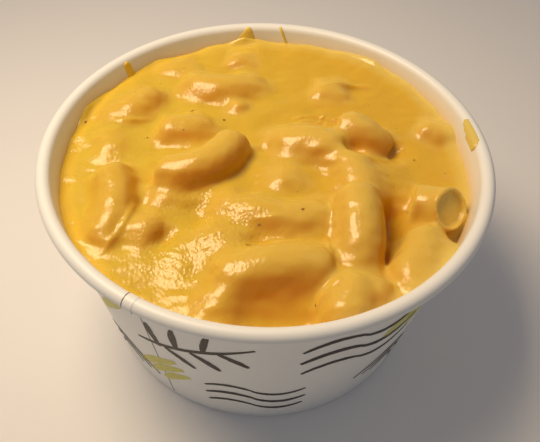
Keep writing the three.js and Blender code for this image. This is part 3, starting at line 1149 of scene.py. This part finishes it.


# Cheese sauce, stirred and left to skin over: opaque and soft-lit from within, with painted shade,
# a deeper orange, where it lies low or runs down a side, painted light in its thin film at the paper,
# and a wet skin that breaks the lamps' light into small highlights
sauceLook = {
    "pool": ("#d8bb3c", "#dcb335"),  # where the sauce is thick, at the left and at the right
    "coat": ("#dab542", "#e2bf54"),  # where it is thin over the pasta
    "filmAndLight": ("#f0c83c", "#e0c96a"),  # where it is thin over the paper: paler, and lighter still as painted light where the tub's wall shades it
    "leftToRight": (-36, 22),  # mm
    "shadedFlank": "#d08e08",  # painted shade, a deeper orange, on steep flanks, most on those turned from the key lamp
    "hollowShade": "#ec8c04",  # painted shade where it lies low among its surroundings
    "hollowShadeDepths": (-0.4, -2.3),  # mm over its surroundings where the painted shade of a hollow starts and is full
    "gloss": (0.5, 0.7),  # roughness, least and most
    "glossPatch": 6,  # mm
    "glossSpread": (0.35, 0.65),  # of the patches, from least to most
    "bodyShine": 0.1,
    "bodyIor": 1.42,
    "skinRoughness": 0.22,
    "skinIor": 1.46,
    "scatter": 1,  # mm
    "scatterColours": (1.0, 0.75, 0.35),  # how far red, green and blue go, as a share of it
    "wave": 3,  # mm
    "waveHeight": 0.05,  # mm
    "ripple": 0.7,  # mm across
    "rippleHeight": 0.12,  # mm
    "rippleTurn": 35,  # degrees
    "rippleStretch": (1, 0.8, 1),
    "rippleSoftness": 0.5,
    "rippled": (-12, -21, 43),  # mm, where the skin is most wrinkled
    "rippledReach": (9, 15),  # mm from there, to where it is and to where it hardly is
    "calm": 0.36,  # share of the ripples elsewhere
}


def sauceColour(tree, place):
    rise, cover, steepness, filmAndLight = (
        addNode(tree, "Attribute", {"attribute_name": name}).outputs["Fac"]
        for name in ("rise", "cover", "steepness", "filmAndLight")
    )
    across = addNode(tree, "SeparateXYZ", {}, {"Vector": place})
    left, right = sauceLook["leftToRight"]
    ends = {"From Min": left * mm, "From Max": right * mm}
    side = addNode(tree, "MapRange", ends, {"Value": across.outputs["X"]})
    tones = {}
    for part in ("coat", "pool", "filmAndLight"):
        atLeft, atRight = (linear(colour) for colour in sauceLook[part])
        settings = {"Color1": atLeft, "Color2": atRight}
        tones[part] = addNode(tree, "MixRGB", settings, {"Fac": side.outputs["Result"]}).outputs["Color"]
    links = {"Fac": cover, "Color1": tones["coat"], "Color2": tones["pool"]}
    body = addNode(tree, "MixRGB", {}, links)
    start, full = sauceLook["hollowShadeDepths"]
    settings = {"interpolation_type": "SMOOTHSTEP", "From Min": start, "From Max": full}
    low = addNode(tree, "MapRange", settings, {"Value": rise})
    # painted shade: steep flanks, then low hollows, take a deeper orange
    links = {"Fac": steepness, "Color1": body.outputs["Color"]}
    sloping = addNode(tree, "MixRGB", {"Color2": linear(sauceLook["shadedFlank"])}, links)
    links = {"Fac": low.outputs["Result"], "Color1": sloping.outputs["Color"]}
    sunk = addNode(tree, "MixRGB", {"Color2": linear(sauceLook["hollowShade"])}, links)
    # the film at the paper: its paler tone with painted light over it
    links = {"Fac": filmAndLight, "Color1": sunk.outputs["Color"], "Color2": tones["filmAndLight"]}
    colour = addNode(tree, "MixRGB", {}, links)
    thick = addNode(tree, "Math", {"operation": "SUBTRACT", 0: 1}, {1: filmAndLight})
    return colour.outputs["Color"], thick.outputs["Value"]


def sauceGloss(tree, place):
    patch = {"Scale": 1 / (sauceLook["glossPatch"] * mm), "Detail": 2}
    gloss = addNode(tree, "TexNoise", patch, {"Vector": place})
    fromLeast, fromMost = sauceLook["glossSpread"]
    least, most = sauceLook["gloss"]
    settings = {"From Min": fromLeast, "From Max": fromMost, "To Min": least, "To Max": most}
    return addNode(tree, "MapRange", settings, {"Value": gloss.outputs["Fac"]}).outputs["Result"]


def sauceRelief(tree, place):  # slow waves, and over them fine ripples that are highest in one patch
    settings = {"Scale": 1 / (sauceLook["wave"] * mm), "Detail": 1}
    waves = addNode(tree, "TexNoise", settings, {"Vector": place})
    settings = {"Distance": sauceLook["waveHeight"] * mm, "Strength": 1}
    slow = addNode(tree, "Bump", settings, {"Height": waves.outputs["Fac"]})
    patch = [value * mm for value in sauceLook["rippled"]]
    away = addNode(tree, "VectorMath", {"operation": "DISTANCE", 1: patch}, {0: place})
    rippled, calm = sauceLook["rippledReach"]
    height = sauceLook["rippleHeight"] * mm
    settings = {
        "From Min": rippled * mm,
        "From Max": calm * mm,
        "To Min": height,
        "To Max": height * sauceLook["calm"],
    }
    share = addNode(tree, "MapRange", settings, {"Value": away.outputs["Value"]})
    turn = (0, 0, math.radians(sauceLook["rippleTurn"]))
    settings = {"Rotation": turn, "Scale": sauceLook["rippleStretch"]}
    woven = addNode(tree, "Mapping", settings, {"Vector": place})
    settings = {
        "feature": "SMOOTH_F1",
        "Scale": 1 / (sauceLook["ripple"] * mm),
        "Smoothness": sauceLook["rippleSoftness"],
    }
    ripples = addNode(tree, "TexVoronoi", settings, {"Vector": woven.outputs["Vector"]})
    links = {
        "Height": ripples.outputs["Distance"],
        "Distance": share.outputs["Result"],
        "Normal": slow.outputs["Normal"],
    }
    return addNode(tree, "Bump", {"Strength": 1}, links).outputs["Normal"]


def cheeseSauce():
    material, tree, shader = newMaterial("cheese sauce")
    place = addNode(tree, "TexCoord").outputs["Object"]
    colour, thickness = sauceColour(tree, place)
    relief = sauceRelief(tree, place)
    settings = {
        "IOR": sauceLook["bodyIor"],
        "Specular IOR Level": sauceLook["bodyShine"],
        "Coat Weight": 1,
        "Coat Roughness": sauceLook["skinRoughness"],
        "Coat IOR": sauceLook["skinIor"],
        "Subsurface Radius": sauceLook["scatterColours"],
        "Subsurface Scale": sauceLook["scatter"] * mm,
    }
    links = {
        "Base Color": colour,
        "Roughness": sauceGloss(tree, place),
        "Normal": relief,
        "Coat Normal": relief,
        "Subsurface Weight": thickness,
    }
    setNode(tree, shader, settings, links)
    return material


# Ground spice and burst bubbles: small dark grains, a little glossy under the wet skin
spiceLook = {
    "dark": "#7c4a10",
    "light": "#c07f22",
    "grain": 0.8,  # mm
    "roughness": 0.35,
}


def groundSpice():
    material, tree, shader = newMaterial("spice in sauce")
    place = addNode(tree, "TexCoord")
    settings = {"Scale": 1 / (spiceLook["grain"] * mm), "Detail": 2}
    grain = addNode(tree, "TexNoise", settings, {"Vector": place.outputs["Object"]})
    settings = {"Color1": linear(spiceLook["dark"]), "Color2": linear(spiceLook["light"])}
    colour = addNode(tree, "MixRGB", settings, {"Fac": grain.outputs["Fac"]})
    setNode(tree, shader, {"Roughness": spiceLook["roughness"]}, {"Base Color": colour.outputs["Color"]})
    return material


addCamera()
addStudio()
print("view and studio are set")

wall = makeWall()
base = makeBase()
paper = coatedPaper()
paintShadeTint(wall)
wear(wall, paper)
wear(base, paper)
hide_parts("cup_wall")
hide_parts("cup_base")
print("paper tub is made")

ink, wash = makePrint()
wear(ink, printed("black ink", "ink"))
wear(wash, printed("green wash", "wash"))
flap = makeSeam("flap")
paintShadeTint(flap)
wear(flap, paper)
# the seam's cut edge gets painted shade
wear(makeSeam("edge"), printed("painted seam shade", "edge"))
print("print and seam are made")

cheese = cheeseSauce()
food = makeSauce()
wear(food, cheese)
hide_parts("macaroni_in_sauce")
print("food is made:", len(food.data.polygons), "faces of sauce")
wear(makeSmears(), cheese)
wear(makeSpecks(food), groundSpice())
print("smears and specks are made")

clearSelection()
